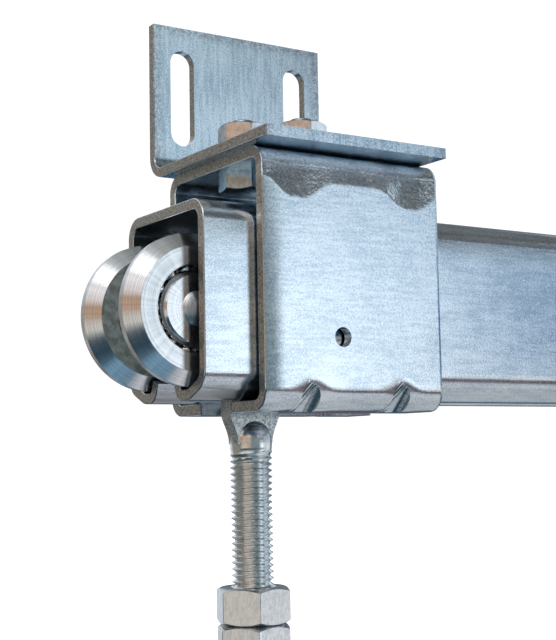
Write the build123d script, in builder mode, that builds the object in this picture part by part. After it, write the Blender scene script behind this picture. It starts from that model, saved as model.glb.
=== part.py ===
"""Box-track sliding door suspension: a wall bracket that grips a length of box track, and the
four-wheel trolley that rolls in the track and carries the door on an M12 hanger bolt.

Frame: +X along the track, +Y towards the wall, +Z up, millimetres.  The origin is on the wall
plane, midway between the two screw slots of the wall angle.
"""
from build123d import *
from math import sqrt
import os

os.makedirs("parts", exist_ok=True)

# ---------------------------------------------------------------- driving dimensions
# wall angle
ANGLE_T = 3.0            # sheet
ANGLE_LENGTH = 61.0
ANGLE_REACH = 66.3       # wall face to front edge
ANGLE_TOP = 22.2
ANGLE_UNDER = -26.1      # underside of the level leg, which is also the top of the sleeve
ANGLE_BEND = 7.0         # outer bend radius
SLOT_WIDTH = 8.2
SLOT_LENGTH = 29.8
SLOT_PITCH = 41.0

# track
TRACK_Y = -32.9          # centre line of everything that hangs below
TRACK_T = 3.0
TRACK_WIDTH = 44.0
TRACK_HEIGHT = 53.5
TRACK_START = -43.2
TRACK_LENGTH = 300.0
TRACK_BEND = 6.0         # outer radius of the two top bends and of the lower side bends
LIP_GAP = 4.5            # half the slot between the two lips
LIP_HEIGHT = 5.3
LIP_FOOT = 6.5           # from the middle to where a lip leaves the floor
LIP_BEND = 3.6
FLOOR_EDGE = 13.1        # from the middle to where the level floor turns up towards the side
FLOOR_RISE = 4.0         # how far the sloping floor rises before it meets the side
TRACK_TOP = -41.2

# wall sleeve
SLEEVE_T = 3.2
SLEEVE_WIDTH = 52.0
SLEEVE_START = -27.4
SLEEVE_LENGTH = 60.0
SLEEVE_BEND = 5.5
SLEEVE_GAP = 8.6         # half the slot in its bottom
DART_SPACING = 30.5
DART_DEPTH = 5.4         # from the sharp corner to the bottom of the groove
DART_RADIUS = 3.0
DART_REACH = 40.0        # length of the cutting cylinder, longer than any groove
LOCK_HOLE_D = 5.5
LOCK_HOLE_X = -1.9
LOCK_HOLE_Z = -77.7

# bolts that join angle and sleeve
M8_FLATS = 13.0
M8_HEAD = 5.3
M8_NUT = 6.5
M8_HOLE_D = 9.0
M8_D = 8.0
M8_TURN = 18.0           # how far the hexagons are turned about Z
BOLT_STAND_OUT = 1.3     # bolt tip above its nut
BOLT_POINT = 1.0
HEX_BEVEL = 0.58         # rise over run of the cone that bevels the hexagon corners
HEX_RIM = 0.475          # radius where that cone starts, as a share of the width across flats
WASHER_BORE_D = 8.6
NUT_FIT = 0.05           # radial clearance on plain shanks inside one body
WASHER_D = 16.0
WASHER_T = 1.6
BOLT_PLACES = ((-17.2, TRACK_Y), (-3.4, TRACK_Y - 9.6))

# trolley
STUD_X = -16.2
AXLE_SPREAD = 51.0
AXLE_D = 8.0
AXLE_HEAD_D = 9.4
AXLE_HEAD_H = 1.5
WHEEL_GAUGE = 23.6       # between the middles of a pair of wheels
WHEEL_WIDTH = 8.7
WHEEL_D = 41.2           # over the crest
WHEEL_EDGE_D = 33.6      # at the faces
WHEEL_LAND = 2.0         # flat on the crest
WHEEL_BORE_D = 23.4
RACE_D = 20.8
RACE_FACE_D = 18.4
BALL_CIRCLE_D = 22.0
BALL_D = 4.9
BALL_GROOVE_D = 5.2
BALL_COUNT = 13
ROLL_GAP = 0.5           # left between the wheel crests and the track floor
PLATE_T = 2.0            # carrier plates
PLATE_HEIGHT = 18.0
SPACER_D = 13.0
PIVOT_D = 8.0
PIVOT_HEAD_D = 12.0
PIVOT_HEAD_H = 1.5
WHEEL_BREAK = 0.35       # rounding of the edges of the wheel's bore
RACE_BEVEL = 1.5

# hanger bolt
FLAT_T = 5.3
FLAT_WIDTH = 16.0
STUD_D = 11.86
STUD_LENGTH = 75.0       # from the shoulder to the tip
SHOULDER_DROP = 34.6     # pivot centre to shoulder
SWING_FIT = 0.08         # radial clearance of the pivot
PLATE_PLAY = 0.05        # between the flat and each carrier plate
M12_FLATS = 19.0
M12_NUT = 10.0
M12_TURNS = {"hanger_nut_upper": 9.0, "hanger_nut_lower": 6.3}
NECK_HALF = 5.6          # half width of the flat where it runs into the stud
NECK_RISE = 7.0
NECK_DROP = 1.0
NECK_FLARE = 0.25        # sideways over downwards, where the flat starts to narrow
STUD_POINT = 1.2
THREAD_FIT = 0.07
NUT_MOUTH = 0.5
NUT_DROP = 75.1          # pivot centre to the top of the upper nut
NUT_GAP = 0.2

EDGE = 0.4               # rounding of cut sheet edges

# ---------------------------------------------------------------- derived places
ANGLE_OVER = ANGLE_UNDER + ANGLE_T
SLEEVE_TOP = ANGLE_UNDER
TRACK_BOTTOM = TRACK_TOP - TRACK_HEIGHT
SLEEVE_BOTTOM = TRACK_BOTTOM - SLEEVE_T
SLEEVE_MID = SLEEVE_START + SLEEVE_LENGTH / 2
AXLE_Z = TRACK_BOTTOM + TRACK_T + ROLL_GAP + WHEEL_D / 2
SHOULDER_Z = AXLE_Z - SHOULDER_DROP
ENDS = {"lead": STUD_X - AXLE_SPREAD / 2, "trail": STUD_X + AXLE_SPREAD / 2}
SIDES = {"room": -1, "wall": 1}
PLATE_INNER = FLAT_T / 2 + PLATE_PLAY
PLATE_OUTER = PLATE_INNER + PLATE_T
WHEEL_INNER = WHEEL_GAUGE / 2 - WHEEL_WIDTH / 2
WHEEL_OUTER = WHEEL_GAUGE / 2 + WHEEL_WIDTH / 2


def across(x, y, z):
    """Sketch plane for a piece turned about an axle: local x is its radius, local y runs along +Y."""
    return Plane(origin=(x, y, z), x_dir=(1, 0, 0), z_dir=(0, 0, 1))


def axle_line(x, y, z):
    """The axis such a piece is turned about."""
    return Axis((x, y, z), (0, 1, 0))


# ---------------------------------------------------------------- wall angle
with BuildPart() as angle:
    with BuildSketch(Plane.YZ.offset(-ANGLE_LENGTH / 2)):
        with BuildLine():
            FilletPolyline((0, ANGLE_TOP), (0, ANGLE_UNDER), (-ANGLE_REACH, ANGLE_UNDER), radius=ANGLE_BEND)
            offset(amount=ANGLE_T, side=Side.RIGHT)
        make_face()
    extrude(amount=ANGLE_LENGTH)
    with BuildSketch(Plane.XZ):
        with Locations((-SLOT_PITCH / 2, 0), (SLOT_PITCH / 2, 0)):
            SlotOverall(SLOT_LENGTH, SLOT_WIDTH, rotation=90)
    extrude(amount=ANGLE_T, mode=Mode.SUBTRACT)
    with BuildSketch(Plane.XY.offset(ANGLE_UNDER)):
        with Locations(*BOLT_PLACES):
            Circle(M8_HOLE_D / 2)
    extrude(amount=ANGLE_T, mode=Mode.SUBTRACT)
    fillet(angle.faces().sort_by(Axis.X)[0].edges(), EDGE)
    fillet(angle.faces().sort_by(Axis.X)[-1].edges(), EDGE)
angle.part.label = "wall_angle"
export_step(angle.part, "parts/wall_angle.step")

# ---------------------------------------------------------------- track
half = TRACK_WIDTH / 2
side_start = TRACK_BOTTOM + FLOOR_RISE
track_outline = [
    (TRACK_Y + LIP_GAP, TRACK_BOTTOM + LIP_HEIGHT),
    (TRACK_Y + LIP_FOOT, TRACK_BOTTOM),
    (TRACK_Y + FLOOR_EDGE, TRACK_BOTTOM),
    (TRACK_Y + half, side_start),
    (TRACK_Y + half, TRACK_TOP),
    (TRACK_Y - half, TRACK_TOP),
    (TRACK_Y - half, side_start),
    (TRACK_Y - FLOOR_EDGE, TRACK_BOTTOM),
    (TRACK_Y - LIP_FOOT, TRACK_BOTTOM),
    (TRACK_Y - LIP_GAP, TRACK_BOTTOM + LIP_HEIGHT),
]
track_radii = [LIP_BEND, *[TRACK_BEND] * 6, LIP_BEND]
with BuildPart() as track:
    with BuildSketch(Plane.YZ.offset(TRACK_START)):
        with BuildLine():
            FilletPolyline(*track_outline, radius=track_radii)
            offset(amount=TRACK_T, side=Side.LEFT)
        make_face()
    extrude(amount=TRACK_LENGTH)
    fillet(track.faces().sort_by(Axis.X)[0].edges(), EDGE)
    fillet(track.faces().sort_by(Axis.X)[-1].edges(), EDGE)
track.part.label = "track_rail"
export_step(track.part, "parts/track_rail.step")

# ---------------------------------------------------------------- wall sleeve
half_sleeve = SLEEVE_WIDTH / 2
dart_in = (DART_DEPTH - DART_RADIUS) / sqrt(2)
dart_planes = [
    Plane(
        origin=(
            SLEEVE_MID + along * DART_SPACING / 2,
            TRACK_Y + side * (half_sleeve - dart_in),
            SLEEVE_BOTTOM + dart_in,
        ),
        x_dir=(1, 0, 0),
        z_dir=(0, side, 1),
    )
    for side in (-1, 1)
    for along in (-1, 1)
]
sleeve_outline = [
    (TRACK_Y + SLEEVE_GAP, SLEEVE_BOTTOM),
    (TRACK_Y + half_sleeve, SLEEVE_BOTTOM),
    (TRACK_Y + half_sleeve, SLEEVE_TOP),
    (TRACK_Y - half_sleeve, SLEEVE_TOP),
    (TRACK_Y - half_sleeve, SLEEVE_BOTTOM),
    (TRACK_Y - SLEEVE_GAP, SLEEVE_BOTTOM),
]
with BuildPart() as dart_backs:
    with Locations(*dart_planes):
        Cylinder(DART_RADIUS + SLEEVE_T, DART_REACH)
    with Locations((SLEEVE_MID, TRACK_Y, (SLEEVE_TOP + SLEEVE_BOTTOM) / 2)):
        Box(
            SLEEVE_LENGTH,
            SLEEVE_WIDTH - 2 * SLEEVE_T,
            SLEEVE_TOP - SLEEVE_BOTTOM - 2 * SLEEVE_T,
            mode=Mode.INTERSECT,
        )
with BuildPart() as sleeve:
    with BuildSketch(Plane.YZ.offset(SLEEVE_START)):
        with BuildLine():
            FilletPolyline(*sleeve_outline, radius=SLEEVE_BEND)
            offset(amount=SLEEVE_T, side=Side.LEFT)
        make_face()
    extrude(amount=SLEEVE_LENGTH)
    fillet(sleeve.faces().sort_by(Axis.X)[0].edges(), EDGE)
    fillet(sleeve.faces().sort_by(Axis.X)[-1].edges(), EDGE)
    add(dart_backs.part)
    with Locations(*dart_planes):
        Cylinder(DART_RADIUS, DART_REACH, mode=Mode.SUBTRACT)
    with BuildSketch(Plane.XY.offset(SLEEVE_TOP)):
        with Locations(*BOLT_PLACES):
            Circle(M8_HOLE_D / 2)
    extrude(amount=-SLEEVE_T, mode=Mode.SUBTRACT)
    with BuildSketch(Plane.XZ.offset(half_sleeve - TRACK_Y)):
        with Locations((LOCK_HOLE_X, LOCK_HOLE_Z)):
            Circle(LOCK_HOLE_D / 2)
    extrude(amount=-SLEEVE_T, mode=Mode.SUBTRACT)
sleeve.part.label = "wall_sleeve"
export_step(sleeve.part, "parts/wall_sleeve.step")

# ---------------------------------------------------------------- hexagons
def hexagon(x, y, z, flats, height, turn, bevel_high=True):
    """A hexagonal head or nut blank standing on z, its corners cut back by a cone at either end."""
    corner = flats / sqrt(3)
    rim = HEX_RIM * flats
    rise = (corner - rim) * HEX_BEVEL
    high_end = [(corner, height - rise), (rim, height)] if bevel_high else [(corner, height)]
    with BuildPart() as blank:
        with BuildSketch(Plane.XY.offset(z)):
            with Locations((x, y)):
                RegularPolygon(corner, 6, rotation=turn)
        extrude(amount=height)
        with BuildSketch(Plane(origin=(x, y, z), x_dir=(1, 0, 0), z_dir=(0, -1, 0))):
            with BuildLine():
                Polyline((0, 0), (rim, 0), (corner, rise), *high_end, (0, height), close=True)
            make_face()
        revolve(axis=Axis((x, y, z), (0, 0, 1)), mode=Mode.INTERSECT)
    return blank.part


# ---------------------------------------------------------------- bolts, washers and nuts of the bracket
bolt_head_z = SLEEVE_TOP - SLEEVE_T - M8_HEAD
nut_z = ANGLE_OVER + WASHER_T
bolt_tip_z = nut_z + M8_NUT + BOLT_STAND_OUT
heads = [hexagon(x, y, bolt_head_z, M8_FLATS, M8_HEAD, M8_TURN, bevel_high=False) for x, y in BOLT_PLACES]
blanks = [hexagon(x, y, nut_z, M8_FLATS, M8_NUT, M8_TURN) for x, y in BOLT_PLACES]

with BuildPart() as bracket_bolts:
    with BuildSketch(Plane.XY.offset(bolt_head_z + M8_HEAD / 2)):
        with Locations(*BOLT_PLACES):
            Circle(M8_D / 2)
    extrude(amount=bolt_tip_z - bolt_head_z - M8_HEAD / 2)
    chamfer(bracket_bolts.faces().sort_by(Axis.Z)[-2:].edges(), BOLT_POINT)
    add(heads)
bracket_bolts.part.label = "bracket_bolts"
export_step(bracket_bolts.part, "parts/bracket_bolts.step")

with BuildPart() as bracket_washers:
    with BuildSketch(Plane.XY.offset(ANGLE_OVER)):
        with Locations(*BOLT_PLACES):
            Circle(WASHER_D / 2)
            Circle(WASHER_BORE_D / 2, mode=Mode.SUBTRACT)
    extrude(amount=WASHER_T)
bracket_washers.part.label = "bracket_washers"
export_step(bracket_washers.part, "parts/bracket_washers.step")

with BuildPart() as bracket_nuts:
    add(blanks)
    with BuildSketch(Plane.XY.offset(nut_z)):
        with Locations(*BOLT_PLACES):
            Circle(M8_D / 2 + NUT_FIT)
    extrude(amount=M8_NUT, mode=Mode.SUBTRACT)
bracket_nuts.part.label = "bracket_nuts"
export_step(bracket_nuts.part, "parts/bracket_nuts.step")

# ---------------------------------------------------------------- trolley carrier
with BuildPart() as plate_blank:
    with BuildSketch(Plane.XZ.offset(-TRACK_Y)):
        with Locations((STUD_X, AXLE_Z)):
            SlotCenterToCenter(AXLE_SPREAD, PLATE_HEIGHT)
        with Locations(*[(x, AXLE_Z) for x in ENDS.values()]):
            Circle(AXLE_D / 2 + NUT_FIT, mode=Mode.SUBTRACT)
        with Locations((STUD_X, AXLE_Z)):
            Circle(PIVOT_D / 2 + NUT_FIT, mode=Mode.SUBTRACT)
    extrude(amount=-PLATE_T)

for side, sign in SIDES.items():
    near_face = sign * PLATE_INNER if sign > 0 else sign * PLATE_OUTER
    with BuildPart() as plate:
        with Locations((0, near_face, 0)):
            add(plate_blank.part)
        fillet(plate.faces().filter_by(Axis.Y).edges().filter_by(GeomType.LINE), EDGE)
    plate.part.label = f"carrier_plate_{side}"
    export_step(plate.part, f"parts/carrier_plate_{side}.step")

# rings that keep plates and bearings apart on each axle, turned about the axle
with BuildPart() as axle_spacers:
    for x in ENDS.values():
        for low, high in (
            (-WHEEL_INNER, -PLATE_OUTER),
            (-PLATE_INNER, PLATE_INNER),
            (PLATE_OUTER, WHEEL_INNER),
        ):
            with BuildSketch(Plane.XZ.offset(-TRACK_Y - low)):
                with Locations((x, AXLE_Z)):
                    Circle(SPACER_D / 2)
                    Circle(AXLE_D / 2 + NUT_FIT, mode=Mode.SUBTRACT)
            extrude(amount=low - high)
axle_spacers.part.label = "axle_spacers"
export_step(axle_spacers.part, "parts/axle_spacers.step")


def headed_pin(x, shank_d, head_d, head_h, grip):
    """A plain pin along Y through the carrier, closed at both ends by a domed riveted head."""
    with BuildPart() as pin:
        with BuildSketch(across(x, TRACK_Y, AXLE_Z)):
            with BuildLine():
                TangentArc((0, grip + head_h), (head_d / 2, grip), tangent=(1, 0))
                Polyline(
                    (head_d / 2, grip),
                    (shank_d / 2, grip),
                    (shank_d / 2, -grip),
                    (head_d / 2, -grip),
                )
                TangentArc((0, -grip - head_h), (head_d / 2, -grip), tangent=(1, 0))
                Line((0, -grip - head_h), (0, grip + head_h))
            make_face()
        revolve(axis=axle_line(x, TRACK_Y, AXLE_Z))
    return pin.part


for end, x in ENDS.items():
    with BuildPart() as axle:
        add(headed_pin(x, AXLE_D, AXLE_HEAD_D, AXLE_HEAD_H, WHEEL_OUTER))
    axle.part.label = f"{end}_axle"
    export_step(axle.part, f"parts/{end}_axle.step")

with BuildPart() as pivot_pin:
    add(headed_pin(STUD_X, PIVOT_D, PIVOT_HEAD_D, PIVOT_HEAD_H, PLATE_OUTER))
pivot_pin.part.label = "hanger_pivot_pin"
export_step(pivot_pin.part, "parts/hanger_pivot_pin.step")

# ---------------------------------------------------------------- wheels, inner races and balls
half_wheel = WHEEL_WIDTH / 2
half_land = WHEEL_LAND / 2
ball_step = 360 / BALL_COUNT

for end, x in ENDS.items():
    for side, sign in SIDES.items():
        y = TRACK_Y + sign * WHEEL_GAUGE / 2

        with BuildPart() as wheel:
            with BuildSketch(across(x, y, AXLE_Z)):
                with BuildLine():
                    Polyline(
                        (WHEEL_BORE_D / 2, -half_wheel),
                        (WHEEL_EDGE_D / 2, -half_wheel),
                        (WHEEL_D / 2, -half_land),
                        (WHEEL_D / 2, half_land),
                        (WHEEL_EDGE_D / 2, half_wheel),
                        (WHEEL_BORE_D / 2, half_wheel),
                        close=True,
                    )
                make_face()
                fillet(vertices().group_by(Axis.X)[0], WHEEL_BREAK)
                with Locations((BALL_CIRCLE_D / 2, 0)):
                    Circle(BALL_GROOVE_D / 2, mode=Mode.SUBTRACT)
            revolve(axis=axle_line(x, y, AXLE_Z))
        wheel.part.label = f"wheel_{end}_{side}"
        export_step(wheel.part, f"parts/wheel_{end}_{side}.step")

        with BuildPart() as race:
            with BuildSketch(across(x, y, AXLE_Z)):
                with BuildLine():
                    Polyline(
                        (AXLE_D / 2 + NUT_FIT, -half_wheel),
                        (RACE_FACE_D / 2, -half_wheel),
                        (RACE_D / 2, -half_wheel + RACE_BEVEL),
                        (RACE_D / 2, half_wheel - RACE_BEVEL),
                        (RACE_FACE_D / 2, half_wheel),
                        (AXLE_D / 2 + NUT_FIT, half_wheel),
                        close=True,
                    )
                make_face()
                with Locations((BALL_CIRCLE_D / 2, 0)):
                    Circle(BALL_GROOVE_D / 2, mode=Mode.SUBTRACT)
            revolve(axis=axle_line(x, y, AXLE_Z))
        race.part.label = f"race_{end}_{side}"
        export_step(race.part, f"parts/race_{end}_{side}.step")

        with BuildPart() as balls:
            with Locations(Plane(origin=(x, y, AXLE_Z), x_dir=(1, 0, 0), z_dir=(0, -1, 0))):
                with PolarLocations(BALL_CIRCLE_D / 2, BALL_COUNT, start_angle=ball_step / 2):
                    Sphere(BALL_D / 2)
        balls.part.label = f"balls_{end}_{side}"
        export_step(balls.part, f"parts/balls_{end}_{side}.step")

# ---------------------------------------------------------------- hanger bolt
flat_half = FLAT_WIDTH / 2
neck_z = SHOULDER_Z + NECK_RISE
with BuildPart() as hanger:
    # the forged flat: an eye round the pivot, straight sides, then two hollow shoulders
    with BuildSketch(Plane.XZ.offset(-TRACK_Y)):
        with BuildLine():
            ThreePointArc(
                (STUD_X + flat_half, AXLE_Z),
                (STUD_X, AXLE_Z + flat_half),
                (STUD_X - flat_half, AXLE_Z),
            )
            Polyline((STUD_X - flat_half, AXLE_Z), (STUD_X - flat_half, neck_z))
            Spline(
                (STUD_X - flat_half, neck_z),
                (STUD_X - NECK_HALF, SHOULDER_Z - NECK_DROP),
                tangents=((NECK_FLARE, -1), (0, -1)),
            )
            Line((STUD_X - NECK_HALF, SHOULDER_Z - NECK_DROP), (STUD_X + NECK_HALF, SHOULDER_Z - NECK_DROP))
            Spline(
                (STUD_X + NECK_HALF, SHOULDER_Z - NECK_DROP),
                (STUD_X + flat_half, neck_z),
                tangents=((0, 1), (NECK_FLARE, 1)),
            )
            Line((STUD_X + flat_half, neck_z), (STUD_X + flat_half, AXLE_Z))
        make_face()
        with Locations((STUD_X, AXLE_Z)):
            Circle(PIVOT_D / 2 + SWING_FIT, mode=Mode.SUBTRACT)
    extrude(amount=FLAT_T / 2, both=True)
    # the round stud, whose domed shoulder stands out of the flat on both sides
    with BuildSketch(Plane(origin=(STUD_X, TRACK_Y, SHOULDER_Z), x_dir=(1, 0, 0), z_dir=(0, -1, 0))):
        with BuildLine():
            Polyline(
                (0, STUD_D / 2),
                (0, -STUD_LENGTH),
                (STUD_D / 2 - STUD_POINT, -STUD_LENGTH),
                (STUD_D / 2, -STUD_LENGTH + STUD_POINT),
                (STUD_D / 2, 0),
            )
            CenterArc((0, 0), STUD_D / 2, 0, 90)
        make_face()
    revolve(axis=Axis((STUD_X, TRACK_Y, 0), (0, 0, 1)))
hanger.part.label = "hanger_bolt"
export_step(hanger.part, "parts/hanger_bolt.step")

# ---------------------------------------------------------------- nuts on the hanger bolt
upper_nut_z = AXLE_Z - NUT_DROP - M12_NUT
lower_nut_z = upper_nut_z - NUT_GAP - M12_NUT
for name, z in (("hanger_nut_upper", upper_nut_z), ("hanger_nut_lower", lower_nut_z)):
    with BuildPart() as nut:
        add(hexagon(STUD_X, TRACK_Y, z, M12_FLATS, M12_NUT, M12_TURNS[name]))
        with BuildSketch(Plane.XY.offset(z)):
            with Locations((STUD_X, TRACK_Y)):
                Circle(STUD_D / 2 + THREAD_FIT)
        extrude(amount=M12_NUT, mode=Mode.SUBTRACT)
        chamfer(nut.edges().filter_by(GeomType.CIRCLE).group_by(SortBy.RADIUS)[0], NUT_MOUTH)
    nut.part.label = name
    export_step(nut.part, f"parts/{name}.step")
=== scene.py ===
"""Looks of the box-track bracket and its trolley: zinc-plated sheet, turned wheels, hexagons and a rolled thread.

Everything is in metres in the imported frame's own axes: +X along the track, +Y into the wall, +Z up.
"""
from math import ceil, cos, pi, radians, sin

import bmesh
import bpy
from mathutils import Matrix, Vector


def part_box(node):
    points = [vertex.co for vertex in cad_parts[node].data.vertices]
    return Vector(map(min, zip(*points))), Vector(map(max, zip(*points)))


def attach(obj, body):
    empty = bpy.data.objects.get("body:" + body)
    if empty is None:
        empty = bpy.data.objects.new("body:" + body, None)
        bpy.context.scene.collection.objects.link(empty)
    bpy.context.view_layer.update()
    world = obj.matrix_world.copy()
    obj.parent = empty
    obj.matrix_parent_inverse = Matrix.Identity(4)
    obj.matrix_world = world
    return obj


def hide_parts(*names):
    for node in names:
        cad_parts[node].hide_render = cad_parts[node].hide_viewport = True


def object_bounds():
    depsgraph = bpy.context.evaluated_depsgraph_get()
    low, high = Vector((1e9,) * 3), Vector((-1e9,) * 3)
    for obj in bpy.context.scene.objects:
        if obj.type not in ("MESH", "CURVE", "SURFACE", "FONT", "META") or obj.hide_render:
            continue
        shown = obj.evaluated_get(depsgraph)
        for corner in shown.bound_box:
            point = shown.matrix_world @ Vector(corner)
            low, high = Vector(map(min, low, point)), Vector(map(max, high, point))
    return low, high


MM = 0.001

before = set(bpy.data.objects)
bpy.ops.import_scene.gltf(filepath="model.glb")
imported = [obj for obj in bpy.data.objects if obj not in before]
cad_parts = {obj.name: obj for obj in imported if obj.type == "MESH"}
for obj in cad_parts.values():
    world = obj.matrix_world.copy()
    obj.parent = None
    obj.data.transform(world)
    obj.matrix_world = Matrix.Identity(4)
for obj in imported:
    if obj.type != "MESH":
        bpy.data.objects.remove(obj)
cad_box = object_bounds()


# ------------------------------------------------------------------ node helpers
def add_node(tree, kind, inputs=(), **settings):
    """A node with its settings, and its inputs either linked from a socket or set to a value."""
    node = tree.nodes.new(kind)
    for name, value in settings.items():
        setattr(node, name, value)
    for key, value in dict(inputs).items():
        if isinstance(value, bpy.types.NodeSocket):
            tree.links.new(value, node.inputs[key])
        else:
            node.inputs[key].default_value = value
    return node


def maths(tree, operation, *values):
    return add_node(tree, "ShaderNodeMath", enumerate(values), operation=operation).outputs[0]


def plus(tree, total, *others):
    for other in others:
        total = maths(tree, "ADD", total, other)
    return total


def minus(tree, a, b):
    return maths(tree, "SUBTRACT", a, b)


def times(tree, product, *others):
    for other in others:
        product = maths(tree, "MULTIPLY", product, other)
    return product


def absolute(tree, value):
    return maths(tree, "ABSOLUTE", value)


def smooth(tree, value, low, high):
    """0 at low, 1 at high, and a smooth step between; low may be the larger of the two."""
    inputs = {"Value": value, "From Min": low, "From Max": high}
    return add_node(tree, "ShaderNodeMapRange", inputs, interpolation_type="SMOOTHSTEP").outputs[0]


def blend_colour(tree, factor, a, b):
    inputs = {"Factor": factor, 6: a, 7: b}
    return add_node(tree, "ShaderNodeMix", inputs, data_type="RGBA").outputs[2]


def blend_value(tree, factor, a, b):
    return add_node(tree, "ShaderNodeMix", {"Factor": factor, 2: a, 3: b}).outputs[0]


def axes_of(tree, vector):
    """The X, Y and Z of a vector."""
    return add_node(tree, "ShaderNodeSeparateXYZ", {0: vector}).outputs


def vector_of(tree, x, y):
    return add_node(tree, "ShaderNodeCombineXYZ", {0: x, 1: y}).outputs[0]


def noise(tree, place, scale, detail=2.0, roughness=0.5):
    inputs = {"Vector": place, "Scale": scale, "Detail": detail, "Roughness": roughness}
    return add_node(tree, "ShaderNodeTexNoise", inputs).outputs["Fac"]


def stretched(tree, place, factors):
    return add_node(tree, "ShaderNodeMapping", {"Vector": place, "Scale": factors}).outputs[0]


def bump(tree, height, distance, normal=None):
    inputs = {"Height": height, "Distance": distance, "Strength": 1.0}
    if normal is not None:
        inputs["Normal"] = normal
    return add_node(tree, "ShaderNodeBump", inputs).outputs[0]


def new_material(name):
    """An empty material, with its texture coordinates."""
    material = bpy.data.materials.new(name)
    material.use_nodes = True
    tree = material.node_tree
    tree.nodes.clear()
    place = add_node(tree, "ShaderNodeTexCoord").outputs
    return material, tree, place


def metal(tree, colour, roughness, normal):
    inputs = {"Base Color": colour, "Metallic": 1.0, "Roughness": roughness, "Normal": normal}
    shader = add_node(tree, "ShaderNodeBsdfPrincipled", inputs)
    add_node(tree, "ShaderNodeOutputMaterial", {"Surface": shader.outputs[0]})


# ------------------------------------------------------------------ colours, as pale and deep shades
ZINC_PALE, ZINC_DEEP = (0.80, 0.86, 0.90, 1), (0.50, 0.59, 0.66, 1)
ANGLE_PALE, ANGLE_DEEP = (0.78, 0.88, 0.95, 1), (0.40, 0.53, 0.63, 1)
BOLT_PALE, BOLT_DEEP = (0.50, 0.67, 0.80, 1), (0.31, 0.43, 0.51, 1)
STUD_PALE, STUD_DEEP = (0.93, 0.96, 0.96, 1), (0.70, 0.75, 0.76, 1)
FORGED_PALE, FORGED_DEEP = (0.66, 0.70, 0.70, 1), (0.26, 0.29, 0.29, 1)
SATIN_PALE, SATIN_DEEP = (0.78, 0.86, 0.83, 1), (0.42, 0.49, 0.47, 1)
CUT_PALE, CUT_DEEP = (0.66, 0.63, 0.58, 1), (0.27, 0.26, 0.245, 1)
STEEL_PALE, STEEL_DEEP = (0.86, 0.87, 0.88, 1), (0.62, 0.64, 0.66, 1)
BALL_PALE, BALL_DEEP = (0.92, 0.92, 0.93, 1), (0.80, 0.81, 0.83, 1)
# a darker grey: grime on the angle's borders, and the darkening of the track's bottom bends near its open end
DARKER_TONE = (0.30, 0.31, 0.32, 1)

# ------------------------------------------------------------------ grain of the metals
# Scales of noise are in cycles a metre; heights of bumps are in metres.
CRYSTALS, BLOTCHES, STREAKS, TEARS = 2300, 55, 900, 1500
WAVES, WAVE_HEIGHT, GRAIN_HEIGHT = 130, 0.04 * MM, 0.018 * MM
CUT_ROUGHNESS, CUT_DEPTH = 0.42, (0.5 * MM, 1.0 * MM)
FINE_RINGS, BROAD_RINGS, CHATTER = 3200, 700, 9
SATIN_MOTTLE, SATIN_ROUGHNESS = 420, 0.6
MOTTLE, MOTTLE_HEIGHT = 420, 0.03 * MM
DRAW_MARKS, DRAW_STRETCH, DRAW_HEIGHT = 2400, (1, 1, 0.25), 0.012 * MM
PITS, PIT_HEIGHT, FORGED_ROUGHNESS = 1900, 0.03 * MM, 0.36
GLOSS_SPREAD = 0.16          # how much the roughness of turned and plated steel varies


# ------------------------------------------------------------------ materials
def sheared_faces(tree, place, ends):
    """1 on faces that look along X, and only near the two ends in X where these are given."""
    sheared = smooth(tree, absolute(tree, axes_of(tree, place["Normal"])[0]), 0.80, 0.95)
    if ends:
        middle, half = (ends[0] + ends[1]) / 2, (ends[1] - ends[0]) / 2
        away = absolute(tree, minus(tree, axes_of(tree, place["Object"])[0], middle))
        sheared = times(tree, sheared, smooth(tree, away, half - CUT_DEPTH[1], half - CUT_DEPTH[0]))
    return sheared


def zinc_sheet(name, grain, ends=None, roughness=0.17, relief=None, darkening=None, shades=(ZINC_PALE, ZINC_DEEP)):
    """Zinc-plated sheet: crystal speckle, a rolling grain along one axis, and sheared faces at its X ends.

    relief(tree, spot) may add the height, in millimetres, of what pressing left in the sheet,
    and darkening(tree, spot) how far its colour gives way to a darker grey.
    """
    material, tree, place = new_material(name)
    spot = place["Object"]
    crystals = noise(tree, spot, CRYSTALS, 3, 0.65)
    blotches = noise(tree, spot, BLOTCHES, 3, 0.55)
    streaks = noise(tree, stretched(tree, spot, grain), STREAKS, 2, 0.6)
    tone = plus(tree, times(tree, crystals, 0.55), times(tree, streaks, 0.25), times(tree, blotches, 0.20))
    colour = blend_colour(tree, smooth(tree, tone, 0.40, 0.58), shades[1], shades[0])
    gloss = plus(tree, roughness - 0.05, times(tree, crystals, 0.14))
    if darkening:
        colour = blend_colour(tree, darkening(tree, spot), colour, DARKER_TONE)

    sheared = sheared_faces(tree, place, ends)
    tears = noise(tree, stretched(tree, spot, (0.2, 1, 1)), TEARS, 3, 0.7)
    torn = blend_colour(tree, smooth(tree, tears, 0.35, 0.65), CUT_DEEP, CUT_PALE)
    colour = blend_colour(tree, sheared, colour, torn)
    gloss = blend_value(tree, sheared, gloss, CUT_ROUGHNESS)

    normal = bump(tree, noise(tree, spot, WAVES, 1), WAVE_HEIGHT)
    if relief:
        normal = bump(tree, relief(tree, spot), MM, normal)
    normal = bump(tree, plus(tree, crystals, times(tree, streaks, 0.6)), GRAIN_HEIGHT, normal)
    metal(tree, colour, gloss, normal)
    return material


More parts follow.
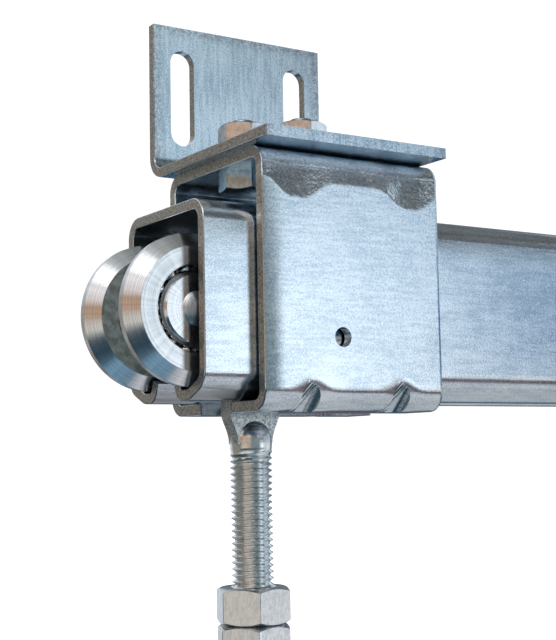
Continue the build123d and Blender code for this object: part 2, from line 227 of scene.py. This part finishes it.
def turned_steel(name, centre, roughness=0.2, ring=0.02 * MM, satin=0):
    """Steel turned about an axis along Y through centre, with fine rings that the tool left.

    satin is 1 or -1 where the faces that look along +Y or -Y are dull.
    """
    material, tree, place = new_material(name)
    inputs = {0: place["Object"], 1: centre}
    x, y, z = axes_of(tree, add_node(tree, "ShaderNodeVectorMath", inputs, operation="SUBTRACT").outputs[0])
    radius = maths(tree, "SQRT", plus(tree, maths(tree, "POWER", x, 2), maths(tree, "POWER", z, 2)))
    rings_at = vector_of(tree, radius, y)
    rings = noise(tree, rings_at, FINE_RINGS, 2, 0.6)
    broad = noise(tree, rings_at, BROAD_RINGS, 2, 0.5)
    chatter = noise(tree, vector_of(tree, maths(tree, "ARCTAN2", z, x), radius), CHATTER, 2, 0.5)
    tone = plus(tree, times(tree, rings, 0.6), times(tree, chatter, 0.4))
    colour = blend_colour(tree, smooth(tree, tone, 0.35, 0.62), STEEL_DEEP, STEEL_PALE)
    gloss = plus(tree, roughness - 0.06, times(tree, broad, GLOSS_SPREAD))
    if satin:
        dull = smooth(tree, times(tree, axes_of(tree, place["Normal"])[1], satin), 0.85, 0.95)
        blotch = smooth(tree, noise(tree, place["Object"], SATIN_MOTTLE, 4, 0.65), 0.35, 0.65)
        colour = blend_colour(tree, dull, colour, blend_colour(tree, blotch, SATIN_DEEP, SATIN_PALE))
        gloss = blend_value(tree, dull, gloss, SATIN_ROUGHNESS)
    metal(tree, colour, gloss, bump(tree, plus(tree, rings, times(tree, broad, 0.8)), ring))
    return material


def plated_steel(name, shades=(STEEL_PALE, STEEL_DEEP), roughness=0.22, forged_above=None):
    """Cold-formed and zinc-plated steel: soft mottling with faint draw marks, and a pitted skin above a height."""
    material, tree, place = new_material(name)
    spot = place["Object"]
    mottle = noise(tree, spot, MOTTLE, 4, 0.6)
    fine = noise(tree, stretched(tree, spot, DRAW_STRETCH), DRAW_MARKS, 2, 0.6)
    tone = plus(tree, times(tree, mottle, 0.6), times(tree, fine, 0.4))
    colour = blend_colour(tree, smooth(tree, tone, 0.34, 0.62), shades[1], shades[0])
    gloss = plus(tree, roughness - 0.06, times(tree, mottle, GLOSS_SPREAD))
    normal = bump(tree, fine, DRAW_HEIGHT, bump(tree, mottle, MOTTLE_HEIGHT))
    if forged_above is not None:
        pits = noise(tree, spot, PITS, 3, 0.65)
        across, out, _ = axes_of(tree, place["Normal"])
        flat = smooth(tree, absolute(tree, out), 0.97, 0.995)
        flat = maths(tree, "MAXIMUM", flat, smooth(tree, absolute(tree, across), 0.85, 0.92))
        forged = times(tree, flat, smooth(tree, axes_of(tree, spot)[2], forged_above, forged_above + MM))
        skin = blend_colour(tree, smooth(tree, pits, 0.38, 0.62), FORGED_DEEP, FORGED_PALE)
        colour = blend_colour(tree, forged, colour, skin)
        gloss = blend_value(tree, forged, gloss, FORGED_ROUGHNESS)
        normal = bump(tree, times(tree, pits, forged), PIT_HEIGHT, normal)
    metal(tree, colour, gloss, normal)
    return material


def polished_steel(name):
    material, tree, place = new_material(name)
    cloud = noise(tree, place["Object"], 900, 2)
    colour = blend_colour(tree, cloud, BALL_DEEP, BALL_PALE)
    metal(tree, colour, plus(tree, 0.05, times(tree, cloud, 0.06)), bump(tree, cloud, 0.002 * MM))
    return material


def paint(node, material):
    """Gives a CAD node its finished material."""
    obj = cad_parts[node]
    obj.data.materials.clear()
    obj.data.materials.append(material)


# ------------------------------------------------------------------ relief and dirt of the sheet parts
# Lengths are in millimetres, slopes are rise over run, and scales of noise are in cycles a metre.
BAND_TOP, BAND_DEPTH = 5.2, 9.6         # below the sleeve's top, between which its sides lean in
BAND_START, BAND_SLOPE = 1.0, 0.185     # length over which the lean grows, and the slope that it reaches
BAND_GRIT, BAND_GRIT_SCALE = 0.040, 1600            # roughness left in it
BAND_RAGGED, BAND_RAGGED_SCALE = 0.8, 600           # and how far its lower edge wanders
BAND_LOBES = ((-15.5, 4.8, 7.6), (23.0, 5.0, 7.8))      # place along X, depth and half width
NEAR_ROLL = (8.0, 0.205)                # width and last slope of what is rolled over at the sleeve's near end
FAR_ROLL = (0.9, 1.5)                   # and at its far end
FOOT_RISE = 7.55                        # above the sleeve's bottom, where its sides start to turn in
FOOT_ROLL = (3.0, 0.33)
# the two darts pressed into the bottom bend: top and bottom in X and Z
DARTS = (((-12.2, -90.6), (-15.4, -97.9)), ((18.2, -90.5), (14.2, -97.9)))
DART_HOOD, DART_HOOD_WIDTH = 2.6, 4.5   # how far the foot's edge rises over a dart
DART_REACH, DART_EDGE = 1.9, 0.6
DART_RIDGE, DART_RIDGE_PITCH = 0.09, 1.3
SHOULDER_DEPTH, SHOULDER_ROLL = 14.0, (9.0, 0.095)      # below the track's top, where its sides start to lean in
DARKENING_TOP, DARKENING_FULL = 5.5, 1.0        # above the track's bottom, over which its bottom bends turn darker
DARKENING_END, DARKENING_START = 40, 26         # from the track's open end
BORDER_SIDE, BORDER_TOP, BORDER_FULL = 5.0, 4.0, 0.5    # from the free edges of the angle's upright leg
SPECK_SCALE = 1100


def in_mm(tree, length):
    return times(tree, length, 1 / MM)


def turned_in(tree, distance, width, slope):
    """Height lost past an edge: the slope grows over width and stays from there on."""
    past = maths(tree, "MAXIMUM", distance, 0)
    growing = times(tree, maths(tree, "POWER", maths(tree, "MINIMUM", past, width), 2), 0.5 / width)
    rest = maths(tree, "MAXIMUM", minus(tree, past, width), 0)
    return times(tree, plus(tree, growing, rest), -slope)


def band_relief(tree, spot, x, down):
    """The sleeve's sides lean in under its top bend, and further under two press marks, over a ragged edge."""
    ragged = minus(tree, noise(tree, spot, BAND_RAGGED_SCALE, 3, 0.6), 0.5)
    reach = plus(tree, times(tree, ragged, BAND_RAGGED), BAND_DEPTH)
    for place, depth, width in BAND_LOBES:
        away = absolute(tree, maths(tree, "DIVIDE", minus(tree, x, place * MM), width * MM))
        bell = maths(tree, "EXPONENT", times(tree, maths(tree, "POWER", away, 3), -1))
        reach = plus(tree, reach, times(tree, bell, depth))
    into = minus(tree, reach, maths(tree, "MAXIMUM", down, BAND_TOP))
    grit = times(tree, noise(tree, spot, BAND_GRIT_SCALE, 2, 0.6), smooth(tree, into, 0.0, 1.0))
    return plus(tree, turned_in(tree, into, BAND_START, BAND_SLOPE), times(tree, grit, BAND_GRIT))


def foot_relief(tree, x, z, foot):
    """The sides turn in towards the bottom bend, from higher up over each dart, and the darts are ridged."""
    below = in_mm(tree, minus(tree, foot, z))
    ridges = 0.0
    for top, bottom in DARTS:
        off_x = minus(tree, maths(tree, "DIVIDE", x, MM), top[0])
        off_z = minus(tree, maths(tree, "DIVIDE", z, MM), top[1])
        hood = maths(tree, "POWER", maths(tree, "DIVIDE", absolute(tree, off_x), DART_HOOD_WIDTH), 2)
        below = plus(tree, below, times(tree, maths(tree, "EXPONENT", times(tree, hood, -1)), DART_HOOD))
        run = (Vector(bottom) - Vector(top)).normalized()
        across = minus(tree, times(tree, off_x, -run.y), times(tree, off_z, -run.x))
        along = plus(tree, times(tree, off_x, run.x), times(tree, off_z, run.y))
        mask = smooth(tree, absolute(tree, across), DART_REACH, DART_REACH - DART_EDGE)
        mask = times(tree, mask, smooth(tree, along, -DART_EDGE, 0.4))
        wave = maths(tree, "COSINE", times(tree, across, 2 * pi / DART_RIDGE_PITCH))
        ridges = plus(tree, ridges, times(tree, wave, mask, DART_RIDGE))
    return plus(tree, turned_in(tree, below, *FOOT_ROLL), ridges)


def sleeve_relief(tree, spot):
    low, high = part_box("wall_sleeve")
    x, _, z = axes_of(tree, spot)
    band = band_relief(tree, spot, x, in_mm(tree, minus(tree, high.z, z)))
    along = in_mm(tree, minus(tree, x, low.x))
    near = turned_in(tree, minus(tree, NEAR_ROLL[0], along), *NEAR_ROLL)
    far = turned_in(tree, minus(tree, along, (high.x - low.x) / MM - FAR_ROLL[0]), *FAR_ROLL)
    return plus(tree, band, plus(tree, near, far), foot_relief(tree, x, z, low.z + FOOT_RISE * MM))


def track_relief(tree, spot):
    """The track's sides lean in a little under its top bends."""
    down = in_mm(tree, minus(tree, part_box("track_rail")[1].z, axes_of(tree, spot)[2]))
    return turned_in(tree, minus(tree, SHOULDER_DEPTH, down), *SHOULDER_ROLL)


def track_darkening(tree, spot):
    """Darker towards the bottom bends of the track, near its open end."""
    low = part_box("track_rail")[0]
    x, _, z = axes_of(tree, spot)
    under = smooth(tree, z, low.z + DARKENING_TOP * MM, low.z + DARKENING_FULL * MM)
    near = smooth(tree, x, low.x + DARKENING_END * MM, low.x + DARKENING_START * MM)
    return times(tree, under, near, 0.85)


def angle_border(tree, spot):
    """Dull, speckled borders along the free edges of the angle's upright leg."""
    low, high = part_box("wall_angle")
    x, _, z = axes_of(tree, spot)
    half = (high.x - low.x) / 2
    away = absolute(tree, minus(tree, x, low.x + half))
    sides = smooth(tree, away, half - BORDER_SIDE * MM, half - BORDER_FULL * MM)
    top = smooth(tree, z, high.z - BORDER_TOP * MM, high.z - BORDER_FULL * MM)
    specks = smooth(tree, noise(tree, spot, SPECK_SCALE, 4, 0.7), 0.40, 0.60)
    return times(tree, maths(tree, "MAXIMUM", sides, top), specks, 0.75)


# ------------------------------------------------------------------ hexagons and threads
CORNER_ROUND = 0.45 * MM     # vertical corners of a hexagon
CORNER_STEPS = 4
FLAT_STEPS = 10
HEX_BEVEL = 0.58             # rise over run of the cone that cuts the corners back
HEX_RIM = 0.475              # where that cone starts, as a share of the width across flats
THREAD_STEPS = 64
# one pitch of a rolled thread: place along the pitch, and height as a share of the depth
THREAD_PROFILE = ((0.0, 0.90), (0.065, 1.0), (0.13, 0.90), (0.43, 0.08), (0.565, 0.0), (0.70, 0.08))
THREAD_DEPTH = 0.6134        # of the pitch
SHARP_ANGLE = 32
WELD = 0.001 * MM


def hexagon_outline(flats, turn):
    """Points round a hexagon with rounded corners; the first corner lies turn degrees from +X."""
    corner_out = (flats / 2 - CORNER_ROUND) / cos(radians(30))
    arcs = []
    for k in range(6):
        heading = radians(turn + 60 * k)
        middle = corner_out * Vector((cos(heading), sin(heading)))
        steps = [heading + radians(60) * (j / CORNER_STEPS - 0.5) for j in range(CORNER_STEPS + 1)]
        arcs.append([middle + CORNER_ROUND * Vector((cos(a), sin(a))) for a in steps])
    points = []
    for arc, following in zip(arcs, arcs[1:] + arcs[:1]):
        points += arc
        points += [arc[-1].lerp(following[0], j / FLAT_STEPS) for j in range(1, FLAT_STEPS)]
    return points


def add_ring(bm, middle, outline, height):
    """Vertices at height(radius), or at a fixed height, round middle."""
    level = height if callable(height) else lambda radius: height
    return [bm.verts.new((middle[0] + p.x, middle[1] + p.y, level(p.length))) for p in outline]


def bridge(bm, ring, following):
    n = len(ring)
    for i in range(n):
        bm.faces.new((ring[i], ring[(i + 1) % n], following[(i + 1) % n], following[i]))


def add_hexagon(bm, middle, flats, turn, low, high, bore=0.0, mouth=0.0, bevel_high=True):
    """A nut, or with no bore a bolt head, between two heights; cones cut its corners back."""
    outline = hexagon_outline(flats, turn)
    rim = HEX_RIM * flats

    def shrunk(radius):
        return [p.normalized() * min(radius, p.length) for p in outline]

    def cut(radius):
        return max(0.0, radius - rim) * HEX_BEVEL

    shape = [add_ring(bm, middle, shrunk(rim), low), add_ring(bm, middle, outline, lambda r: low + cut(r))]
    if bevel_high:
        shape += [add_ring(bm, middle, outline, lambda r: high - cut(r)), add_ring(bm, middle, shrunk(rim), high)]
    else:
        shape.append(add_ring(bm, middle, outline, high))
    if bore:
        for radius, level in (
            (bore + mouth, high),
            (bore, high - mouth),
            (bore, low + mouth),
            (bore + mouth, low),
        ):
            shape.append(add_ring(bm, middle, shrunk(radius), level))
        bridge(bm, shape[-1], shape[0])
    else:
        bm.faces.new(shape[0])
        bm.faces.new(shape[-1])
    for ring, following in zip(shape, shape[1:]):
        bridge(bm, ring, following)


def add_thread(bm, middle, radius, pitch, low, high, run_out, point):
    """A closed right-hand threaded rod: it runs out into a plain shank at the top and has a pointed tip."""
    depth = THREAD_DEPTH * pitch
    per_turn = len(THREAD_PROFILE)

    def radius_at(z, share):
        fade = min(1.0, max(0.0, (high - z) / run_out))
        full = radius - depth * (1 - share) * fade * fade * (3 - 2 * fade)
        return min(full, radius - max(0.0, low + point - z))

    rows = []
    for row in range(per_turn * (ceil((high - low) / pitch) + 4)):
        phase, share = THREAD_PROFILE[row % per_turn]
        ring = []
        for column in range(THREAD_STEPS):
            part = column / THREAD_STEPS
            z = high + pitch * (2 + part - row // per_turn - phase)
            z = min(high, max(low, z))
            r = radius_at(z, share)
            ring.append(bm.verts.new((middle[0] + r * cos(2 * pi * part), middle[1] + r * sin(2 * pi * part), z)))
        rows.append(ring)
    for row in range(len(rows) - 1):
        for column in range(THREAD_STEPS - 1):
            a, b = rows[row][column], rows[row][column + 1]
            bm.faces.new((a, b, rows[row + 1][column + 1], rows[row + 1][column]))
        if row >= per_turn:
            a, b = rows[row][-1], rows[row - per_turn][0]
            bm.faces.new((a, b, rows[row - per_turn + 1][0], rows[row + 1][-1]))
    bmesh.ops.remove_doubles(bm, verts=[v for ring in rows for v in ring], dist=WELD)
    bmesh.ops.dissolve_degenerate(bm, dist=WELD, edges=bm.edges)
    close_holes(bm)


def close_holes(bm):
    bmesh.ops.holes_fill(bm, edges=[e for e in bm.edges if e.is_boundary], sides=0)


def merge(bm, other):
    """Moves the second mesh into the first."""
    mesh = bpy.data.meshes.new("moved")
    other.to_mesh(mesh)
    other.free()
    bm.from_mesh(mesh)
    bpy.data.meshes.remove(mesh)


def flat_rims(bm):
    """The edges round the flat faces that look along Y, so that shading leaves those faces flat."""
    rims = []
    for edge in bm.edges:
        flat = [abs(face.normal.y) > 0.99999 for face in edge.link_faces]
        if any(flat) and not all(flat):
            rims.append(edge.index)
    return rims


def new_piece(name, bm, material, body, node):
    """The mesh as a finished piece that stands for a CAD node and rides on its body."""
    bmesh.ops.recalc_face_normals(bm, faces=bm.faces)
    bm.edges.index_update()
    rims = flat_rims(bm)
    mesh = bpy.data.meshes.new(name)
    bm.to_mesh(mesh)
    bm.free()
    mesh.shade_smooth()
    mesh.set_sharp_from_angle(angle=radians(SHARP_ANGLE))
    for rim in rims:
        mesh.edges[rim].use_edge_sharp = True
    mesh.materials.append(material)
    piece = bpy.data.objects.new(name, mesh)
    bpy.context.scene.collection.objects.link(piece)
    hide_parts(node)
    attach(piece, body)


def mesh_of(node):
    """A working copy of a CAD node's mesh with its split vertices joined."""
    bm = bmesh.new()
    bm.from_mesh(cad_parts[node].data)
    bmesh.ops.remove_doubles(bm, verts=bm.verts, dist=WELD)
    return bm


# ------------------------------------------------------------------ camera
CAMERA_PLACE = (-0.21003, -0.34979, -0.10941)
CAMERA_YAW = 32.733      # from +Y towards +X
CAMERA_PITCH = 5.869     # upwards
CAMERA_ROLL = -1.045
CAMERA_LENS = 73.82
CAMERA_SENSOR = 36


def make_camera():
    yaw, pitch, roll = (radians(a) for a in (CAMERA_YAW, CAMERA_PITCH, CAMERA_ROLL))
    forward = Vector((sin(yaw) * cos(pitch), cos(yaw) * cos(pitch), sin(pitch)))
    level = forward.cross(Vector((0, 0, 1))).normalized()
    upright = level.cross(forward)
    right = cos(roll) * level + sin(roll) * upright
    up = -sin(roll) * level + cos(roll) * upright
    camera = bpy.data.objects.new("camera", bpy.data.cameras.new("camera"))
    camera.matrix_world = Matrix.Translation(CAMERA_PLACE) @ Matrix((right, up, -forward)).transposed().to_4x4()
    camera.data.lens = CAMERA_LENS
    camera.data.sensor_width = CAMERA_SENSOR
    camera.data.clip_start = 0.01
    bpy.context.scene.collection.objects.link(camera)
    bpy.context.scene.camera = camera


# ------------------------------------------------------------------ studio
# What stands round the object, as (bearing from, bearing to, height from, height to, softness, colour).
# A bearing is in degrees from -Y towards +X, a height in degrees above the horizon. Later rows lie over earlier ones.
STUDIO_BASE_LOW = (0.028, 0.060, 0.085, 1)
STUDIO_BASE_HIGH = (0.13, 0.13, 0.13, 1)
STUDIO_HORIZON = (-8, 12)    # heights between which the one base gives way to the other
STUDIO_PANELS = (
    (-180, 180, 48, 91, 6, (0.20, 0.215, 0.215, 1)),      # ceiling
    (-180, 40, 48, 80, 8, (0.42, 0.44, 0.44, 1)),         # its lit left half
    (-180, -15, 20, 60, 5, (0.95, 0.90, 0.90, 1)),        # pale wall, upper left
    (-180, -95, -30, 30, 8, (0.25, 0.235, 0.21, 1)),      # brown room behind on the left
    (80, 180, 1, 40, 8, (0.16, 0.19, 0.22, 1)),           # grey room behind on the right
    (78, 180, -91, -22, 4, (0.50, 0.51, 0.53, 1)),        # grey table, behind on the right
    (80, 180, -24, -7, 5, (0.010, 0.085, 0.155, 1)),      # deep blue past the table
    (80, 180, -7, 1, 3, (0.13, 0.075, 0.065, 1)),         # and dark red past that
    (160, 180, -14, 40, 6, (0.66, 0.72, 0.77, 1)),        # window behind, in two halves
    (-180, -160, -14, 40, 6, (0.66, 0.72, 0.77, 1)),
    (-88, -25, 0, 20, 4, (0.50, 0.31, 0.19, 1)),          # warm wood on the left
    (-88, -25, -16, 0, 4, (0.72, 0.70, 0.64, 1)),         # pale wall under it
    (14, 78, -91, -30, 5, (0.62, 0.62, 0.65, 1)),         # grey table, front right
    (14, 78, -30, -12, 4, (0.16, 0.115, 0.125, 1)),       # its dark red edge
    (-32, 27, -20, 13, 5, (0.20, 0.25, 0.27, 1)),         # grey between the wood and the diffuser
    (24, 100, -14, 13.5, 2.5, (0.82, 1.00, 1.20, 1)),     # the main diffuser, front right
    (25, 100, -14, 8.5, 5, (1.38, 1.50, 1.60, 1)),        # its brighter lower part
    (40, 100, -14, 16, 3.5, (0.34, 0.43, 0.52, 1)),       # its shaded right half, in four steps
    (40, 100, -14, 9, 5, (0.58, 0.70, 0.82, 1)),
    (40, 100, -14, 3, 4, (0.62, 0.63, 0.64, 1)),
    (47, 100, -14, 2, 4, (0.80, 0.82, 0.83, 1)),
    (42, 100, 2.8, 8.0, 3, (0.05, 0.18, 0.40, 1)),        # a deep blue strip across it
    (60, 125, 8, 34, 5, (0.82, 0.95, 1.06, 1)),           # window on the right
    (12, 33, 10, 26, 5, (0.70, 0.80, 0.86, 1)),           # upper wing of the diffuser
    (-60, 12, -70, -48, 6, (0.20, 0.36, 0.50, 1)),        # blue cloth below
)
PAPER_GLOW = 1.1             # what the eye sees past the studio
FLOOR_GLOW = 1.2
FLOOR_DROP = 0.12            # below the tip of the hanger bolt
FLOOR_SIZE = 12
FLOOR_PALE, FLOOR_DEEP = (0.96, 0.96, 0.96, 1), (0.93, 0.93, 0.93, 1)


def span(tree, value, low, high, soft, ends=(None, None)):
    """1 between low and high with soft edges; a bound that equals its end of the scale has no edge."""
    start = 1.0 if low == ends[0] else smooth(tree, value, low - soft / 2, low + soft / 2)
    stop = 1.0 if high == ends[1] else smooth(tree, value, high + soft / 2, high - soft / 2)
    return times(tree, start, stop)


def make_world():
    world = bpy.data.worlds.new("studio")
    world.use_nodes = True
    bpy.context.scene.world = world
    tree = world.node_tree
    tree.nodes.clear()
    x, y, z = axes_of(tree, add_node(tree, "ShaderNodeTexCoord").outputs["Generated"])
    bearing = maths(tree, "DEGREES", maths(tree, "ARCTAN2", x, times(tree, y, -1)))
    height = maths(tree, "DEGREES", maths(tree, "ARCSINE", z))
    colour = blend_colour(tree, smooth(tree, height, *STUDIO_HORIZON), STUDIO_BASE_LOW, STUDIO_BASE_HIGH)
    for low_bearing, high_bearing, low_height, high_height, soft, panel in STUDIO_PANELS:
        mask = span(tree, height, low_height, high_height, soft)
        if high_bearing - low_bearing < 360:
            mask = times(tree, mask, span(tree, bearing, low_bearing, high_bearing, soft, (-180, 180)))
        colour = blend_colour(tree, mask, colour, panel)
    surroundings = add_node(tree, "ShaderNodeBackground", {"Color": colour, "Strength": 1.0})
    paper = add_node(tree, "ShaderNodeBackground", {"Color": (1, 1, 1, 1), "Strength": PAPER_GLOW})
    seen = add_node(tree, "ShaderNodeLightPath").outputs["Is Camera Ray"]
    mix = add_node(tree, "ShaderNodeMixShader", {0: seen, 1: surroundings.outputs[0], 2: paper.outputs[0]})
    add_node(tree, "ShaderNodeOutputWorld", {"Surface": mix.outputs[0]})


def make_light(name, place, aim, size, power, colour):
    light = bpy.data.lights.new(name, "AREA")
    light.shape = "RECTANGLE"
    light.size, light.size_y = size
    light.energy = power
    light.color = colour
    lamp = bpy.data.objects.new(name, light)
    lamp.rotation_mode = "QUATERNION"
    lamp.rotation_quaternion = (Vector(aim) - Vector(place)).to_track_quat("-Z", "Y")
    lamp.location = place
    lamp.visible_camera = False
    bpy.context.scene.collection.objects.link(lamp)


def make_floor():
    """A pale floor for the eye; seen from below or in the metal it gives way to the studio."""
    low, high = cad_box
    place = ((low.x + high.x) / 2, 0, low.z - FLOOR_DROP)
    bpy.ops.mesh.primitive_plane_add(size=FLOOR_SIZE, location=place)
    floor = bpy.context.object
    floor.name = "floor"
    material, tree, coordinates = new_material("floor_paper")
    colour = blend_colour(tree, noise(tree, coordinates["Object"], 40, 2), FLOOR_DEEP, FLOOR_PALE)
    paper = add_node(tree, "ShaderNodeBsdfDiffuse", {"Color": colour})
    glow = add_node(tree, "ShaderNodeEmission", {"Color": colour, "Strength": FLOOR_GLOW})
    lit = add_node(tree, "ShaderNodeAddShader", {0: paper.outputs[0], 1: glow.outputs[0]})
    clear = add_node(tree, "ShaderNodeBsdfTransparent")
    seen = add_node(tree, "ShaderNodeLightPath").outputs["Is Camera Ray"]
    below = add_node(tree, "ShaderNodeNewGeometry").outputs["Backfacing"]
    shown = times(tree, seen, minus(tree, 1.0, below))
    mix = add_node(tree, "ShaderNodeMixShader", {0: shown, 1: clear.outputs[0], 2: lit.outputs[0]})
    add_node(tree, "ShaderNodeOutputMaterial", {"Surface": mix.outputs[0]})
    floor.data.materials.append(material)


# ------------------------------------------------------------------ sheet parts
ALONG_TRACK, UPRIGHT = (0.12, 1, 1), (1, 1, 0.12)       # how a rolling grain along X or Z stretches


def sheet_ends(node):
    low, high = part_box(node)
    return low.x, high.x


def finish_sheet():
    angle_shades = (ANGLE_PALE, ANGLE_DEEP)
    paint("wall_angle", zinc_sheet("zinc_angle", UPRIGHT, roughness=0.2, darkening=angle_border, shades=angle_shades))
    paint("wall_sleeve", zinc_sheet("zinc_sleeve", ALONG_TRACK, sheet_ends("wall_sleeve"), relief=sleeve_relief))
    ends = sheet_ends("track_rail")
    # the track turns darker towards its bottom bends near its open end
    paint("track_rail", zinc_sheet("zinc_track", ALONG_TRACK, ends, relief=track_relief, darkening=track_darkening))
    carrier = zinc_sheet("zinc_carrier", ALONG_TRACK)
    for side in ("room", "wall"):
        paint(f"carrier_plate_{side}", carrier)


# ------------------------------------------------------------------ fasteners
M8_FLATS, M8_TURN, M8_PITCH, M8_HEAD = 13 * MM, 18, 1.25 * MM, 5.3 * MM
M8_RADIUS, M8_POINT = 4 * MM, 1.0 * MM
M8_WASHER_RADIUS = 8 * MM
M12_FLATS, M12_PITCH = 19 * MM, 1.75 * MM
M12_TURNS = {"upper": 9.0, "lower": 6.3}
NUT_CLEARANCE = 0.07 * MM
NUT_MOUTH = 0.5 * MM
SHOULDER_TO_TIP = 75 * MM
SHANK_START = 1.2 * MM       # below the centre of the domed shoulder
STUD_RUN_OUT, STUD_POINT = 6 * MM, 1.2 * MM


def bolt_middles():
    """The two bracket bolts stand at opposite corners of the washers' box."""
    low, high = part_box("bracket_washers")
    r = M8_WASHER_RADIUS
    return (low.x + r, high.y - r), (high.x - r, low.y + r)


def make_bracket_nuts(finish):
    low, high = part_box("bracket_nuts")
    nuts = bmesh.new()
    for middle in bolt_middles():
        add_hexagon(nuts, middle, M8_FLATS, M8_TURN, low.z, high.z, M8_RADIUS + NUT_CLEARANCE, NUT_MOUTH)
    new_piece("m8_nuts", nuts, finish, "track_and_bracket", "bracket_nuts")


def make_bracket_bolts():
    """Heads below and threads above; the threads are made with their tips down, then turned over about X."""
    low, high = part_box("bracket_bolts")
    under_head = low.z + M8_HEAD
    bolts, shanks = bmesh.new(), bmesh.new()
    for x, y in bolt_middles():
        add_hexagon(bolts, (x, y), M8_FLATS, M8_TURN, low.z, under_head, bevel_high=False)
        add_thread(shanks, (x, -y), M8_RADIUS, M8_PITCH, -high.z, -under_head, 2 * M8_PITCH, M8_POINT)
    bmesh.ops.rotate(shanks, matrix=Matrix.Rotation(pi, 3, "X"), verts=shanks.verts)
    merge(bolts, shanks)
    finish = plated_steel("zinc_bolts", (BOLT_PALE, BOLT_DEEP))
    new_piece("m8_bolts", bolts, finish, "track_and_bracket", "bracket_bolts")


def make_hanger(nut_finish):
    """The CAD node's forged flat and domed shoulder, with a rolled M12 thread for its plain stud, and two nuts."""
    low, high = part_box("hanger_bolt")
    middle = ((low.x + high.x) / 2, (low.y + high.y) / 2)
    radius = (high.y - low.y) / 2
    for which, turn in M12_TURNS.items():
        node, body = f"hanger_nut_{which}", f"{which}_nut"
        bottom, top = (corner.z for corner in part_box(node))
        nut = bmesh.new()
        add_hexagon(nut, middle, M12_FLATS, turn, bottom, top, radius + NUT_CLEARANCE, NUT_MOUTH)
        new_piece(f"m12_{body}", nut, nut_finish, body, node)

    start = low.z + SHOULDER_TO_TIP - SHANK_START
    bolt = mesh_of("hanger_bolt")
    everything = list(bolt.verts) + list(bolt.edges) + list(bolt.faces)
    bmesh.ops.bisect_plane(bolt, geom=everything, plane_co=(0, 0, start), plane_no=(0, 0, -1), clear_outer=True)
    close_holes(bolt)
    stud = bmesh.new()
    add_thread(stud, middle, radius, M12_PITCH, low.z, start, STUD_RUN_OUT, STUD_POINT)
    merge(bolt, stud)
    finish = plated_steel("zinc_stud", (STUD_PALE, STUD_DEEP), forged_above=start)
    new_piece("forged_hanger_bolt", bolt, finish, "hanger", "hanger_bolt")


def make_fasteners():
    finish = plated_steel("zinc_fasteners")
    paint("bracket_washers", finish)
    make_bracket_nuts(finish)
    make_bracket_bolts()
    make_hanger(finish)


# ------------------------------------------------------------------ wheels and axles
RIVET_ROUGHNESS = 0.3
RACE_ROUGHNESS, RACE_RING = 0.16, 0.01 * MM


def node_centre(node):
    low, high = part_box(node)
    return (low + high) / 2


def finish_trolley():
    """Wheels that are dull on the faces that look at each other, ground races, polished balls and riveted axles."""
    balls = polished_steel("polished_balls")
    for end in ("lead", "trail"):
        axle = f"{end}_axle"
        paint(axle, turned_steel(f"riveted_{axle}", node_centre(axle), RIVET_ROUGHNESS))
        for side, inward in (("room", 1), ("wall", -1)):
            wheel = f"{end}_{side}"
            centre = node_centre(f"wheel_{wheel}")
            paint(f"wheel_{wheel}", turned_steel(f"turned_wheel_{wheel}", centre, satin=inward))
            paint(f"race_{wheel}", turned_steel(f"ground_race_{wheel}", centre, RACE_ROUGHNESS, RACE_RING))
            paint(f"balls_{wheel}", balls)
    paint("hanger_pivot_pin", turned_steel("riveted_pivot", node_centre("hanger_pivot_pin"), RIVET_ROUGHNESS))
    paint("axle_spacers", plated_steel("zinc_spacers"))


make_camera()
make_world()
make_floor()
make_light("top_softbox", (-0.5, -0.7, 1.0), (0.05, -0.03, -0.1), (0.7, 0.5), 1.5, (0.95, 0.98, 1.0))
bpy.context.scene.view_settings.view_transform = "Standard"
finish_sheet()
make_fasteners()
finish_trolley()
